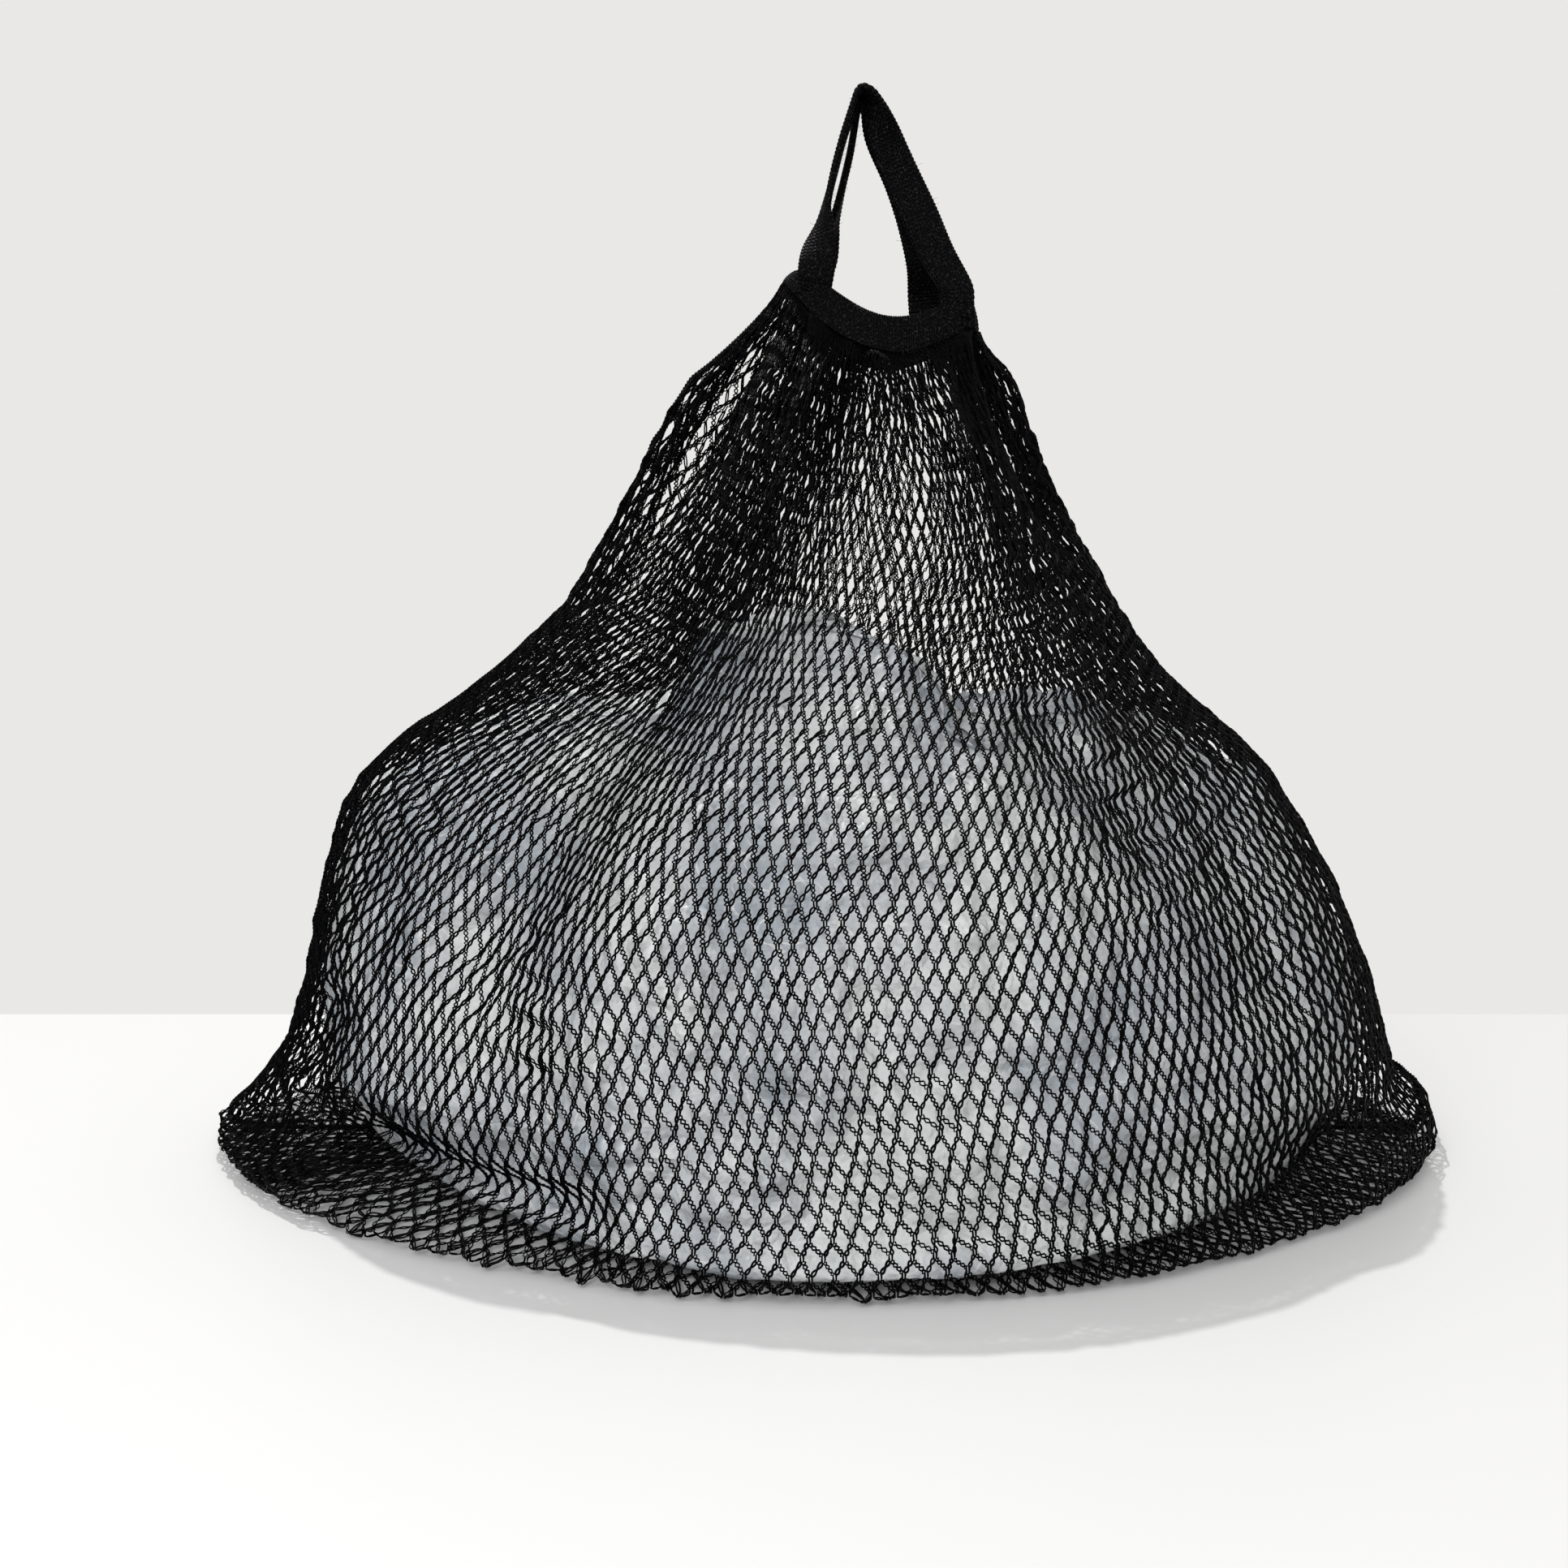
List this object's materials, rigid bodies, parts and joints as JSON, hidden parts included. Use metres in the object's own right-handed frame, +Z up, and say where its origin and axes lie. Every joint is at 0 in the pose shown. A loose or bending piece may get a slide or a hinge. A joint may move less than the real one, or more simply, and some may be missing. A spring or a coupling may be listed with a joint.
{
  "type": "laundry bag",
  "caption": "Black net string bag with a knitted mouth band and two short tape handles, standing filled out on its base.",
  "frame": {"origin": "on the ground, midway between the tips of the two lower corners, at the middle of the base's depth", "axes": "+X from the left lower corner to the right one, -Y is the front, +Z up"},
  "size_m": [0.4825, 0.3328, 0.4018],
  "materials": {
    "net_yarn": "satin",
    "knit_band": "matte",
    "handle_tape": "matte",
    "seam_thread": "matte",
    "clear_film": "gloss"
  },
  "bodies": {
    "bag": {"front_net_panel": "net_yarn", "back_net_panel": "net_yarn", "left_side_seam": "seam_thread", "right_side_seam": "seam_thread", "bottom_seam": "seam_thread", "front_mouth_band": "knit_band", "back_mouth_band": "knit_band", "left_band_seam": "seam_thread", "right_band_seam": "seam_thread", "front_left_strap_end": "handle_tape", "front_right_strap_end": "handle_tape", "back_left_strap_end": "handle_tape", "back_right_strap_end": "handle_tape", "strap_stitching": "seam_thread", "clear_film_insert": "clear_film"},
    "front_handle": {"front_handle": "handle_tape"},
    "back_handle": {"back_handle": "handle_tape"}
  },
  "joints": [
    {"name": "front_handle_flop", "type": "hinge", "parent": "bag", "child": "front_handle", "pos_m": [0.0225, -0.0155, 0.32578], "axis": [0.9779, 0, -0.2093], "range_deg": [0, 115]},
    {"name": "back_handle_flop", "type": "hinge", "parent": "bag", "child": "back_handle", "pos_m": [0.0225, 0.0155, 0.32578], "axis": [-0.9779, 0, 0.2093], "range_deg": [0, 115]}
  ]
}
